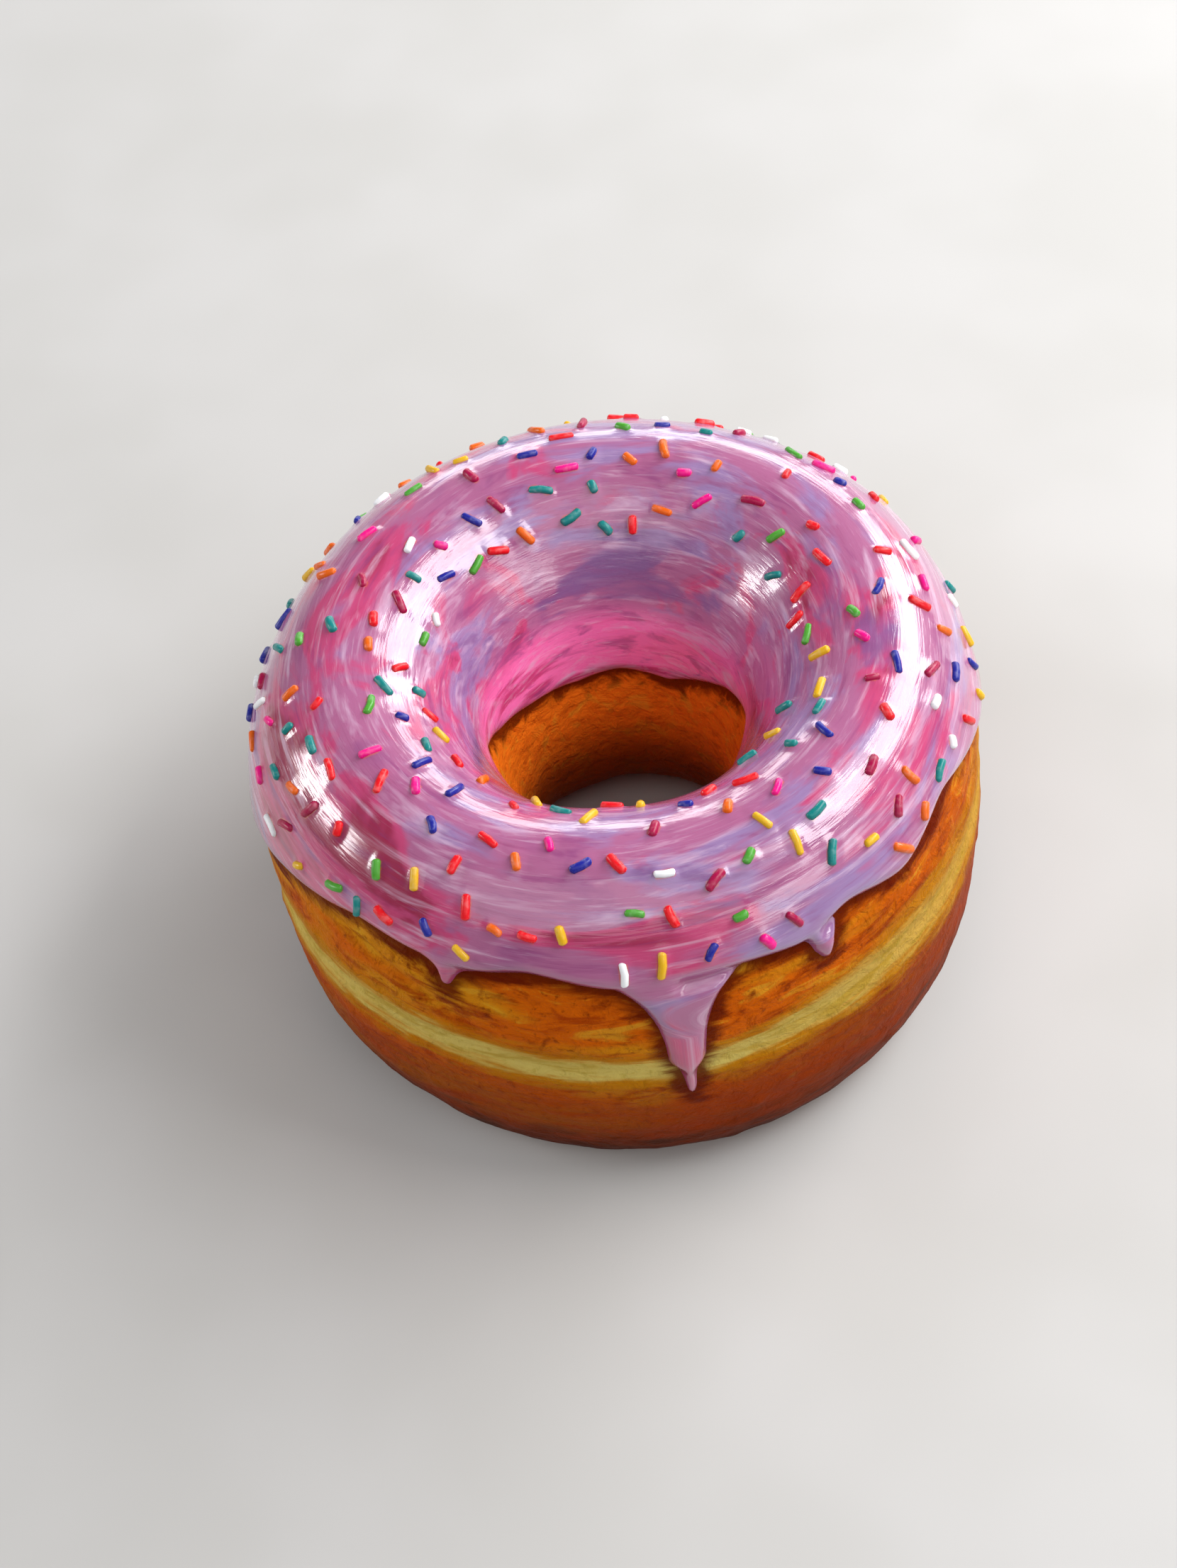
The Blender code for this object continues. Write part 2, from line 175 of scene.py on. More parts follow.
# How wide the line is there, as a share of its usual width, and how pale it gets: 1 is cream and 0 is gold.
LINE_WIDTHS = (
    (-176, 0.8), (-150, 1.2), (-125, 1.1), (-100, 1.0), (-78, 0.9), (-50, 1.35), (-20, 1.5), (25, 1.1),
    (90, 1.1),
)
LINE_PALENESS = (
    (-176, 0.75), (-140, 0.8), (-115, 0.9), (-80, 0.95), (-55, 0.55), (-30, 0.3), (5, 0.22), (50, 0.65),
    (110, 0.9),
)
# The hole has no line, so all of it counts as this far below one.
HOLE_OFF_LINE = -20.0 * MM

# The crust's relief: dents, wrinkles that follow the ring, and blisters, whose radius is this share of their
# spacing. All of it is sunk a little, so that the ring keeps its size.
DENT_SIZE, DENT_DEPTH = 5.0 * MM, 0.14 * MM
WRINKLE_LENGTH, WRINKLE_WIDTH, WRINKLE_HEIGHT = 9.0 * MM, 3.0 * MM, 0.16 * MM
BLISTER_SPACING, BLISTER_HEIGHT, BLISTER_SHARE = 6.0 * MM, 0.26 * MM, 0.34
BLISTER_POWER = 1.5
RELIEF_SUNK = 0.10 * MM
# How quickly finer dents and wrinkles weaken, how much finer each layer of them is, and how many layers.
DENT_LAYERS = (0.8, 2.2, 3)
WRINKLE_LAYERS = (0.9, 2.1, 3)
# How much of the relief the pale line smooths out, and below what height the foot does.
LINE_SMOOTHNESS = 0.6
RELIEF_FADES_BELOW = 2.0 * MM
# A crease over the line, at the front left: (azimuth in degrees, height in mm) from end to end.
CREASE = ((-146, 40), (-130, 38.5), (-121, 36.2), (-113, 32.5))
CREASE_DEPTH = 0.55 * MM
CREASE_HALF_WIDTH = 0.9 * MM

# Where undermixed dye shows in the icing: (azimuth in degrees, distance from the crest, half its length round
# the ring and half its width, all three in mm, and strength). Rose dye is positive, and lilac is negative.
DYE_SWIRLS = (
    (74, -27, 26, 3, 0.07), (-6, -21, 14, 4, 0.12), (128, -22, 12, 4, 0.12), (-162, 10, 17, 5, 0.25),
    (178, -3, 12, 3, 0.12), (-90, 12, 7, 3, 0.20), (-124, 9, 14, 3, 0.12), (0, -2, 10, 3, 0.14),
    (-14, 1, 10, 3, 0.12), (131, 0, 16, 3, 0.12), (26, -7, 10, 3, 0.10), (-90, -1, 26, 4, -0.08),
    (-56, 14, 12, 4, -0.15), (70, -2, 20, 4, -0.12), (114, -6, 12, 4, -0.10), (-38, -4, 12, 4, -0.15),
    (-85, 32, 6, 10, 0.22),
)
# Laid out the same way: a greyer violet that is painted shade, most of it on the far slope of the hole.
PAINTED_VIOLET_SHADE = ((80, -17, 26, 3.5, 0.28), (-12, -2, 6, 2, 0.12), (-105, 4, 14, 2.5, 0.10))
# Laid out the same way: a near-white pink that is painted highlight, over the back shoulder and in paler
# drifts.
PAINTED_HIGHLIGHT_SWIRLS = (
    (70, 14, 36, 4.5, 0.22), (145, 14, 20, 4.5, 0.16), (170, -9, 12, 4, 0.08), (-48, 6, 16, 3, 0.08),
)

# The camera, as found by laying the ring's outline on the picture.
CAMERA_ELEVATION = 50.26
CAMERA_DISTANCE = 406.5 * MM
CAMERA_ROLL = -6.6
CAMERA_LENS = 67.95
CAMERA_NEAREST = 10.0 * MM
RING_MIDDLE_HEIGHT = 27.65 * MM
# The middle of the frame lies this far to the left of the ring's middle and below it.
AIM_LEFT, AIM_BELOW = 4.6 * MM, 1.55 * MM

# Soft lamps, placed where the picture's highlights come from: (name, azimuth and elevation in degrees,
# distance, width and height in metres, how bright it looks, and roll in degrees).
SOFTBOXES = (
    ("right_softbox", 21, 40, 0.75, 1.10, 0.30, 8.7, -37),
    ("back_softbox", 76, 15, 0.80, 0.90, 0.17, 4.8, 0),
    ("left_softbox", 168, 18, 0.75, 0.34, 0.15, 13, 0),
    ("front_softbox", -42, 26, 0.80, 0.50, 0.20, 3.5, 0),
    ("front_fill", -100, 55, 1.20, 1.60, 1.00, 0.95, 0),
)
SURROUND_COLOUR, SURROUND_STRENGTH = "#E9EDF2", 0.22
FLOOR_SIZE = 30.0


def section(turn):
    """(radius, height) of the section. turn is 0 outside, 90 degrees on the crest and 180 in the hole."""
    across, up = np.cos(turn), np.sin(turn)
    outside, above = across >= 0, up >= 0
    power = np.where(above, np.where(outside, SHOULDER_POWER, HOLE_POWER), UNDERSIDE_POWER)
    across, up = np.abs(across) ** (2 / power), np.abs(up) ** (2 / power)
    reach = np.where(outside, OUTER_RADIUS - CREST_RADIUS, WAIST_RADIUS - CREST_RADIUS)
    radius = CREST_RADIUS + across * reach
    widest = np.where(outside, LINE_HEIGHT, WAIST_HEIGHT)
    height = np.where(above, widest + up * (DOUGH_HEIGHT - widest), widest - up * (widest + BASE_FLATTENING))
    return radius, np.maximum(height, 0.0)


def section_table():
    """The section by distance along it: 0 on the crest, positive outwards and down, negative in the hole."""
    turn = np.radians(np.linspace(270.0, -90.0, SECTION_POINTS))
    radius, height = section(turn)
    along = np.concatenate(([0.0], np.cumsum(np.hypot(np.diff(radius), np.diff(height)))))
    along -= np.interp(-math.pi / 2, -turn, along)
    return along, radius, height


ALONG, RADIUS, HEIGHT = section_table()
ALL_ROUND = ALONG[-1] - ALONG[0]


def out_of_round(azimuth):
    """How much wider than its mean the ring is at this azimuth, as a share."""
    share = 1.0
    for waves, size, crest in OUT_OF_ROUND:
        share = share + size * np.cos(waves * (azimuth - math.radians(crest)))
    return share


def puff(azimuth, along):
    """How far the dough swells or sinks, in low soft humps."""
    swell = 0.0
    for round_ring, round_tube, phase in PUFF_WAVES:
        tube_turn = 2 * math.pi * along / ALL_ROUND
        swell = swell + np.sin(round_ring * azimuth + phase) * np.cos(round_tube * tube_turn + phase)
    return PUFF_HEIGHT * swell / 2


def ring_points(azimuth, along, lift):
    """Points at these places on the ring, with x, y, z last."""
    azimuth, along, lift = np.broadcast_arrays(azimuth, along, lift)
    radius, height = np.interp(along, ALONG, RADIUS), np.interp(along, ALONG, HEIGHT)
    ahead, behind = along + SLOPE_STEP, along - SLOPE_STEP
    out = np.interp(ahead, ALONG, RADIUS) - np.interp(behind, ALONG, RADIUS)
    down = np.interp(ahead, ALONG, HEIGHT) - np.interp(behind, ALONG, HEIGHT)
    length = np.hypot(out, down)
    lift = lift + puff(azimuth, along) * np.clip(height / PUFF_FADES_BELOW, 0.0, 1.0)
    share = 1 + (out_of_round(azimuth) - 1) * (radius - WAIST_RADIUS) / (OUTER_RADIUS - WAIST_RADIUS)
    radius = radius * share - lift * down / length
    height = height + lift * out / length
    aside = SETTLED * np.clip(1 - height / LINE_HEIGHT, 0.0, 1.0)
    places = np.stack((radius * np.cos(azimuth) + aside, radius * np.sin(azimuth), height), axis=-1)
    return places + np.array(MIDDLE)


def ring_point(azimuth, along, lift):
    """One such point."""
    return Vector(ring_points(azimuth, along, lift))


def surface_frame(azimuth, along, lift):
    """A matrix at a place on the ring: X runs round it, Y outwards along the section, Z off the dough."""
    here = ring_point(azimuth, along, lift)
    ahead, behind = along + SLOPE_STEP, along - SLOPE_STEP
    outwards = (ring_point(azimuth, ahead, lift) - ring_point(azimuth, behind, lift)).normalized()
    turn = SLOPE_STEP / (here - MIDDLE).xy.length
    around = (ring_point(azimuth + turn, along, lift) - ring_point(azimuth - turn, along, lift)).normalized()
    off = around.cross(outwards).normalized()
    if off.dot(ring_point(azimuth, along, lift + MM) - here) < 0:
        off, around = -off, -around
    return Matrix.Translation(here) @ Matrix((around, off.cross(around), off)).transposed().to_4x4()


EVERY_DEGREE = np.arange(-180.0, 180.0)


def closed_curve(places, unit):
    """The value at every degree of a smooth closed curve that passes near these places."""
    azimuths, values = np.array(places).T
    straight = np.interp(EVERY_DEGREE, azimuths, values * unit, period=360.0)
    steps = np.arange(-SOFTENING_REACH, SOFTENING_REACH + 1)
    weights = np.exp(-((steps / EDGE_SOFTENING) ** 2))
    return sum(weight * np.roll(straight, step) for step, weight in zip(steps, weights)) / weights.sum()


OUTER_EDGE_HEIGHTS = closed_curve(OUTER_EDGE, MM)
INNER_EDGE_HEIGHTS = closed_curve(INNER_EDGE, MM)
PALE_LINE_HEIGHTS = closed_curve(PALE_LINE, MM)
LINE_WIDTH_SHARES = closed_curve(LINE_WIDTHS, 1.0)
LINE_PALENESS_SHARES = closed_curve(LINE_PALENESS, 1.0)


def curve_at(azimuth, curve):
    """The value of a closed curve at this azimuth."""
    return np.interp(np.degrees(azimuth), EVERY_DEGREE, curve, period=360.0)


def outer_edge(azimuth):
    """Distance along the section to the icing's outer edge, without its runs."""
    outside = ALONG > 0
    return np.interp(-curve_at(azimuth, OUTER_EDGE_HEIGHTS), -HEIGHT[outside], ALONG[outside])


def inner_edge(azimuth):
    """Distance along the section to the icing's edge in the hole. It is negative."""
    inside = (ALONG < 0) & (HEIGHT > WAIST_HEIGHT)
    return np.interp(curve_at(azimuth, INNER_EDGE_HEIGHTS), HEIGHT[inside], ALONG[inside])


def run_half_width(share, neck, flare, tail):
    """Half the width of a run at a share of its length: flared at its root, round at its tip."""
    narrowing = np.clip((share - NARROWS_FROM) / NARROWS_OVER, 0.0, 1.0)
    narrowing = narrowing * narrowing * (3 - 2 * narrowing)
    width = neck * (1 - (1 - tail) * narrowing) + flare * np.exp(-share / FLARE_FADES)
    return width * np.sqrt(np.clip(1 - share**RUN_TIP_POWER, 0.0, 1.0))


def icing_body(along):
    """The icing's thickness away from its edges."""
    side = np.where(along > 0, ICING_ON_SIDE, ICING_IN_HOLE)
    return side + (ICING_ON_CREST - side) * np.exp(-((along / CREST_HALF_WIDTH) ** 2))


def dip_ridges(azimuth, along):
    """Smooth random ridges from about -1 to 1. Each follows the ring, and is far longer than it is wide."""
    draw = random.Random(DIP_RIDGE_SEED)
    total = 0.0
    for _ in range(DIP_RIDGE_WAVES):
        across = 2 * math.pi / (DIP_RIDGE_WIDTH * draw.uniform(*DIP_RIDGE_WIDTH_SHARES))
        crests = draw.randint(*DIP_RIDGE_CRESTS)
        total = total + np.sin(crests * azimuth + across * along + draw.uniform(0, 2 * math.pi))
    return total / DIP_RIDGE_PEAK


# Strands


def throw_strands():
    """Where the strands lie: (azimuth, along, heading, length, diameter) each, none too near another."""
    draw = random.Random(STRAND_SEED)
    strands, places = [], []
    while len(strands) < STRANDS_THROWN:
        azimuth = draw.uniform(-math.pi, math.pi)
        reach = min(float(outer_edge(azimuth)) - STRAND_EDGE_MARGIN, STRAND_OUTER_REACH)
        along = draw.uniform(-STRAND_INNER_REACH, reach)
        at = ring_point(azimuth, along, 0.0)
        if draw.random() > at.xy.length / OUTER_RADIUS:
            continue
        if any((at - other).length < STRAND_SPACING for other in places):
            continue
        places.append(at)
        heading = draw.uniform(0.0, math.pi)
        length = draw.uniform(*STRAND_LENGTHS)
        diameter = draw.uniform(*STRAND_DIAMETERS)
        strands.append((azimuth, along, heading, length, diameter))
    return strands


def strand_place(azimuth, along, heading, length, diameter):
    """The matrix of a strand that lies on the icing, with its length along Z."""
    lift = CLEARANCE + float(icing_body(along)) + STRAND_RAISED * diameter
    # Each strand tilts by an amount of its own, which its heading settles.
    tilt = math.radians(STRAND_TILT) * math.sin(STRAND_TILT_TURNS * heading)
    lying = Matrix.Rotation(heading, 4, "Z") @ Matrix.Rotation(math.pi / 2 + tilt, 4, "Y")
    return surface_frame(azimuth, along, lift) @ lying


def add_strand(bm, place, length, diameter, draw):
    """A pressed and cut rod of sugar: blunt round ends, a slight bend, and not quite even in thickness."""
    made = bmesh.ops.create_uvsphere(bm, u_segments=STRAND_SIDES, v_segments=STRAND_RINGS, radius=1.0)
    radius = diameter / 2
    blunt = STRAND_BLUNTNESS * radius
    bend = draw.uniform(-STRAND_BEND, STRAND_BEND) * length
    swell = draw.uniform(-STRAND_SWELL, STRAND_SWELL)
    # The halves of the ball move apart to the strand's ends, and its middle ring stays where it is.
    for vertex in made["verts"]:
        x, y, z = vertex.co
        end = math.copysign(length / 2 - blunt, z) if abs(z) > MIDDLE_RING else 0.0
        at = (end + z * blunt) / (length / 2)
        wide = radius * (1 - STRAND_SWELL + swell * at)
        vertex.co = place @ Vector((x * wide, y * wide + bend * (at * at - 0.5), at * length / 2))


# Meshes


def spaced(count, density):
    """count places from 0 to 1, closer together where density is higher."""
    fine = np.linspace(0.0, 1.0, DENSITY_POINTS)
    total = np.concatenate(([0.0], np.cumsum(density((fine[1:] + fine[:-1]) / 2))))
    return np.interp(np.arange(count) / count, total / total[-1], fine)


def ring_mesh(name, places, joined_rows, kept=None, **fields):
    """A mesh over places[column, row], closed round the ring. Each field becomes a number on every vertex."""
    columns, rows = places.shape[:2]
    numbers = np.arange(columns * rows).reshape(columns, rows)
    here = numbers if joined_rows else numbers[:, :-1]
    above = np.roll(numbers, -1, axis=1) if joined_rows else numbers[:, 1:]
    corners = (here, np.roll(here, -1, axis=0), np.roll(above, -1, axis=0), above)
    faces = np.stack(corners, axis=-1).reshape(-1, 4)
    if kept is not None:
        faces = faces[kept.ravel()[faces].any(axis=1)]
    used, faces = np.unique(faces, return_inverse=True)
    mesh = bpy.data.meshes.new(name)
    mesh.from_pydata(places.reshape(-1, 3)[used], [], faces.reshape(-1, 4))
    mesh.shade_smooth()
    for field, values in fields.items():
        numbers = values.ravel()[used].astype(np.float32)
        mesh.attributes.new(field, "FLOAT", "POINT").data.foreach_set("value", numbers)
    made = bpy.data.objects.new(name, mesh)
    bpy.context.scene.collection.objects.link(made)
    return made


def turn_from(azimuth, centre):
    """The angle from centre to azimuth, between -pi and pi."""
    return (azimuth - centre + math.pi) % (2 * math.pi) - math.pi


def in_a_run(azimuth, along):
    """Whether these places lie in a run, past the icing's plain edge."""
    found = np.zeros(np.shape(along), bool)
    for centre, length, *widths in RUNS:
        centre = math.radians(centre)
        share = (along - outer_edge(centre)) / length
        across = np.abs(turn_from(azimuth, centre)) * OUTER_RADIUS
        inside = (share >= 0) & (share <= 1) & (across < run_half_width(np.clip(share, 0.0, 1.0), *widths))
        found |= inside & (along > outer_edge(azimuth))
    return found


def covered(azimuth, along):
    """Whether icing lies over these places."""
    between = (along < outer_edge(azimuth)) & (along > inner_edge(azimuth))
    return between | in_a_run(azimuth, along)


def icing_border():
    """The icing's outline, runs included, as points that can be searched for the nearest."""
    azimuth = np.radians(np.arange(-180.0, 180.0, BORDER_STEP))
    outer, inner = outer_edge(azimuth), inner_edge(azimuth)
    bare = ~in_a_run(azimuth, outer + JUST_PAST)
    lines = [ring_points(azimuth[bare], outer[bare], 0.0), ring_points(azimuth, inner, 0.0)]
    for centre, length, *widths in RUNS:
        centre = math.radians(centre)
        share = 1 - np.linspace(0.0, 1.0, RUN_SIDE_POINTS) ** 2
        along = outer_edge(centre) + share * length
        for side in (-1, 1):
            turned = centre + side * run_half_width(share, *widths) / OUTER_RADIUS
            past = along > outer_edge(turned)
            lines.append(ring_points(turned[past], along[past], 0.0))
    points = np.concatenate(lines)
    tree = kdtree.KDTree(len(points))
    for index, point in enumerate(points):
        tree.insert(point, index)
    tree.balance()
    return tree


def distance_to(tree, places):
    """How far each of these places is from the nearest point in the tree."""
    flat = places.reshape(-1, 3)
    return np.array([tree.find(place)[2] for place in flat]).reshape(places.shape[:-1])


def softened(values, times):
    """values[column, row] averaged with their neighbours, this many times."""
    for _ in range(times):
        values = (np.roll(values, 1, axis=0) + 2 * values + np.roll(values, -1, axis=0)) / 4
        padded = np.pad(values, ((0, 0), (1, 1)), mode="edge")
        values = (padded[:, :-2] + 2 * padded[:, 1:-1] + padded[:, 2:]) / 4
    return values


def fried_relief(azimuth, along, places):
    """How far dents, wrinkles round the ring and small blisters stand off the plain form."""
    flat = places.reshape(-1, 3)
    around = np.stack((np.cos(azimuth), np.sin(azimuth), np.zeros(azimuth.shape)), axis=-1)
    around = around * OUTER_RADIUS / WRINKLE_LENGTH
    around[..., 2] = along / WRINKLE_WIDTH
    dents = np.array([noise.fractal(Vector(place) / DENT_SIZE, *DENT_LAYERS) for place in flat])
    wrinkles = np.array([noise.fractal(Vector(place), *WRINKLE_LAYERS) for place in around.reshape(-1, 3)])
    cells = np.array([noise.voronoi(Vector(place) / BLISTER_SPACING)[0][0] for place in flat])
    blisters = np.clip(1 - cells / BLISTER_SHARE, 0.0, 1.0) ** BLISTER_POWER
    relief = DENT_DEPTH * dents + WRINKLE_HEIGHT * wrinkles + BLISTER_HEIGHT * blisters - RELIEF_SUNK
    return relief.reshape(azimuth.shape)


def crease_depth(azimuth, height):
    """How deep the crease is at each place. It fades out towards both its ends."""
    azimuths = np.radians([place[0] for place in CREASE])
    heights = [place[1] * MM for place in CREASE]
    off_crease = (height - np.interp(azimuth, azimuths, heights)) / CREASE_HALF_WIDTH
    middle, reach = (azimuths[0] + azimuths[-1]) / 2, (azimuths[-1] - azimuths[0]) / 2
    fade = np.clip(1 - np.abs((azimuth - middle) / reach) ** 4, 0.0, 1.0)
    return CREASE_DEPTH * fade * np.exp(-(off_crease**2))


def crust_relief(azimuth, along, places):
    """How far the crust stands off the plain form, with the groove of the pale line and the crease."""
    relief = fried_relief(azimuth, along, places)
    height = np.interp(along, ALONG, HEIGHT)
    outside = along > 0
    off_line = (height - curve_at(azimuth, PALE_LINE_HEIGHTS)) / GROOVE_HALF_WIDTH
    relief = relief * np.where(outside, 1 - LINE_SMOOTHNESS * np.exp(-(off_line**2)), 1.0)
    relief = relief - np.where(outside, GROOVE_DEPTH * np.exp(-(off_line**2)), 0.0)
    relief = relief - np.where(outside, crease_depth(azimuth, height), 0.0)
    return relief * np.clip(height / RELIEF_FADES_BELOW, 0.0, 1.0)


def swirl_strength(azimuth, along, swirls):
    """How strong these swirls are at each place. The rose and lilac table is undermixed colour, the violet
    one is painted shade, and the pale one is painted highlight.
    """
    total = np.zeros(along.shape)
    for centre, from_crest, half_length, half_width, strength in swirls:
        off_round = turn_from(azimuth, math.radians(centre)) * CREST_RADIUS / (half_length * MM)
        off_across = (along - from_crest * MM) / (half_width * MM)
        total = total + strength * np.exp(-(off_round**2 + off_across**2))
    return total


def make_crust(border):
    """The fried dough. Its rows are close together where it is bare and far apart under the icing."""
    iced_out = outer_edge(np.radians(EVERY_DEGREE)).min() - UNDER_ICING_MARGIN
    iced_in = inner_edge(np.radians(EVERY_DEGREE)).max() + UNDER_ICING_MARGIN

    def density(place):
        along = ALONG[-1] - place * ALL_ROUND
        return np.where((along < iced_out) & (along > iced_in), UNDER_ICING_DENSITY, 1.0)

    along = ALONG[-1] - spaced(DOUGH_ROWS, density) * ALL_ROUND
    azimuth = np.arange(DOUGH_COLUMNS) * 2 * math.pi / DOUGH_COLUMNS - math.pi
    azimuth, along = np.meshgrid(azimuth, along, indexing="ij")
    plain = ring_points(azimuth, along, 0.0)
    places = ring_points(azimuth, along, crust_relief(azimuth, along, plain))
    places[..., 2] = np.maximum(places[..., 2], 0.0)
    height = np.interp(along, ALONG, HEIGHT)
    from_line = np.where(along > 0, height - curve_at(azimuth, PALE_LINE_HEIGHTS), HOLE_OFF_LINE)
    from_line = from_line / curve_at(azimuth, LINE_WIDTH_SHARES)
    from_icing = distance_to(border, plain) * np.where(covered(azimuth, along), -1.0, 1.0)
    return ring_mesh(
        "fried_dough", places, True,
        from_line=from_line / MM, paleness=curve_at(azimuth, LINE_PALENESS_SHARES),
        from_icing=from_icing / MM, across=along / MM,
    )


def along_marks(azimuth, along):
    """How far across the icing's marks each place lies. They follow the ring and turn down into the runs."""
    across = along
    for centre, *_ in RUNS:
        aside = (azimuth - math.radians(centre)) * OUTER_RADIUS
        root = outer_edge(math.radians(centre))
        down = np.clip((along - root + RUN_ROOT) / TURNS_OVER, 0.0, 1.0) ** 2
        down = down * np.exp(-((aside / TURNS_OVER) ** 4))
        across = across + down * (root + aside - across)
    return across


def icing_lift(azimuth, along, across, inwards):
    """How far the icing's face stands off the dough, with its ridges, its runs and its lip."""
    thick = CLEARANCE + icing_body(along) + DIP_RIDGES * dip_ridges(azimuth, across)
    thick = np.where(along > outer_edge(azimuth) - RUN_ROOT, RUN_STANDS, thick)
    thick = thick - THINNER_BELOW * np.clip((along - STRAND_OUTER_REACH) / THINS_OVER, 0.0, 1.0)
    thick = thick * (1 + LIP_BEAD * np.exp(-(((inwards - LIP_BEAD_PLACE) / LIP_BEAD_WIDTH) ** 2)))
    lip = thick * (1 - np.exp(-np.maximum(inwards, 0.0) / LIP_WIDTH))
    below = np.maximum(inwards * LIP_UNDERCUT_SLOPE, -LIP_UNDERCUT)
    return softened(np.where(inwards > 0, lip, below), LIP_SOFTENED)


def nearness_to(strands, places):
    """How near each place is to a strand: 1 on it, and 0 away from it."""
    nearness = np.zeros(places.shape[:-1])
    for strand in strands:
        *_, length, diameter = strand
        place = strand_place(*strand)
        axis = np.array(place.to_3x3() @ Vector((0, 0, length / 2 - diameter / 2)))
        off = places - np.array(place.translation)
        close = (np.abs(off) < CREEP_REACH).all(axis=-1)
        share = np.clip(off[close] @ axis / (axis @ axis), -1.0, 1.0)
        gap = np.linalg.norm(off[close] - share[:, None] * axis, axis=-1) - diameter / 2
        nearness[close] = np.maximum(nearness[close], np.exp(-((np.maximum(gap, 0.0) / CREEP_WIDTH) ** 2)))
    return nearness


def make_icing(border, strands):
    """The icing as one poured skin: its lip, its runs, its ridges, and where it creeps up the strands."""
    azimuth = np.arange(ICING_COLUMNS) * 2 * math.pi / ICING_COLUMNS - math.pi

    def density(place):
        along = ICING_LOWEST - place * (ICING_LOWEST - ICING_INNERMOST)
        return np.where((along < EDGELESS_TO) & (along > EDGELESS_FROM), EDGELESS_DENSITY, 1.0)

    along = ICING_LOWEST - spaced(ICING_ROWS, density) * (ICING_LOWEST - ICING_INNERMOST)
    azimuth, along = np.meshgrid(azimuth, along, indexing="ij")
    from_border = distance_to(border, ring_points(azimuth, along, 0.0))
    inwards = from_border * np.where(covered(azimuth, along), 1.0, -1.0)
    across = along_marks(azimuth, along)
    lift = icing_lift(azimuth, along, across, inwards)
    nearness = nearness_to(strands, ring_points(azimuth, along, lift))
    places = ring_points(azimuth, along, lift + CREEP_HEIGHT * nearness)
    return ring_mesh(
        "pink_icing", places, False, kept=inwards > -LIP_GOES_ON,
        from_edge=inwards / MM, from_crest=along / MM, across=across / MM, at_strand=nearness,
        rosy=swirl_strength(azimuth, along, DYE_SWIRLS), violet=swirl_strength(azimuth, along, PAINTED_VIOLET_SHADE),
        milky=swirl_strength(azimuth, along, PAINTED_HIGHLIGHT_SWIRLS),
    )


# Finishes


def shade(hex_value):
    """The linear colour of an sRGB hex value."""
    parts = [int(hex_value[place : place + 2], 16) / 255 for place in (1, 3, 5)]
    return (*[part / 12.92 if part <= 0.04045 else ((part + 0.055) / 1.055) ** 2.4 for part in parts], 1.0)


def add(tree, kind, settings, inputs):
    """Adds a node with these settings. Each input gets a value, or a link from a node or an output."""
    made = tree.nodes.new(kind)
    for name, value in settings.items():
        setattr(made, name, value)
    for name, value in inputs.items():
        if isinstance(name, int):
            socket = made.inputs[name]
        else:
            socket = next(found for found in made.inputs if found.enabled and found.name == name)
        if isinstance(value, bpy.types.Node):
            value = next(found for found in value.outputs if found.enabled)
        if isinstance(value, bpy.types.NodeSocket):
            tree.links.new(value, socket)
        else:
            socket.default_value = value
    return made


SMOOTH = {"interpolation_type": "SMOOTHSTEP"}


def start_material(name):
    """An empty material, and coordinates in metres that are fixed to the object."""
    made = bpy.data.materials.new(name)
    made.use_nodes = True
    tree = made.node_tree
    tree.nodes.clear()
    return made, tree, add(tree, "ShaderNodeTexCoord", {}, {}).outputs["Object"]


def finish_material(tree, finish):
    """Gives the material its shader, with these finishes."""
    shader = add(tree, "ShaderNodeBsdfPrincipled", {}, finish)
    add(tree, "ShaderNodeOutputMaterial", {}, {"Surface": shader})


def tinted(tree, colour, tint, pattern, start, full, most=1.0):
    """The colour with a tint over it: none where the pattern is at start, and most of it from full on."""
    limits = {"Value": pattern, "From Min": start, "From Max": full, "To Max": most}
    share = add(tree, "ShaderNodeMapRange", SMOOTH, limits)
    return add(tree, "ShaderNodeMix", {"data_type": "RGBA"}, {"Factor": share, "A": colour, "B": shade(tint)})


def streaked(tree, place, long, wide, detail, roughness, distortion):
    """Streaks of about this size, which follow the ring and turn down into the runs."""
    level = add(tree, "ShaderNodeVectorMath", {"operation": "MULTIPLY"}, {0: place, 1: (1.0, 1.0, 0.0)})
    heading = add(tree, "ShaderNodeVectorMath", {"operation": "NORMALIZE"}, {0: level})
    scaling = {0: heading, "Scale": CREST_RADIUS / long}
    turned = add(tree, "ShaderNodeVectorMath", {"operation": "SCALE"}, scaling)
    across = add(tree, "ShaderNodeAttribute", {"attribute_name": "across"}, {}).outputs["Fac"]
    across = add(tree, "ShaderNodeMath", {"operation": "MULTIPLY"}, {0: across, 1: MM / wide})
    across = add(tree, "ShaderNodeCombineXYZ", {}, {"Z": across})
    places = add(tree, "ShaderNodeVectorMath", {"operation": "ADD"}, {0: turned, 1: across})
    return add(
        tree, "ShaderNodeTexNoise", {},
        {"Vector": places, "Scale": 1.0, "Detail": detail, "Roughness": roughness, "Distortion": distortion},
    )


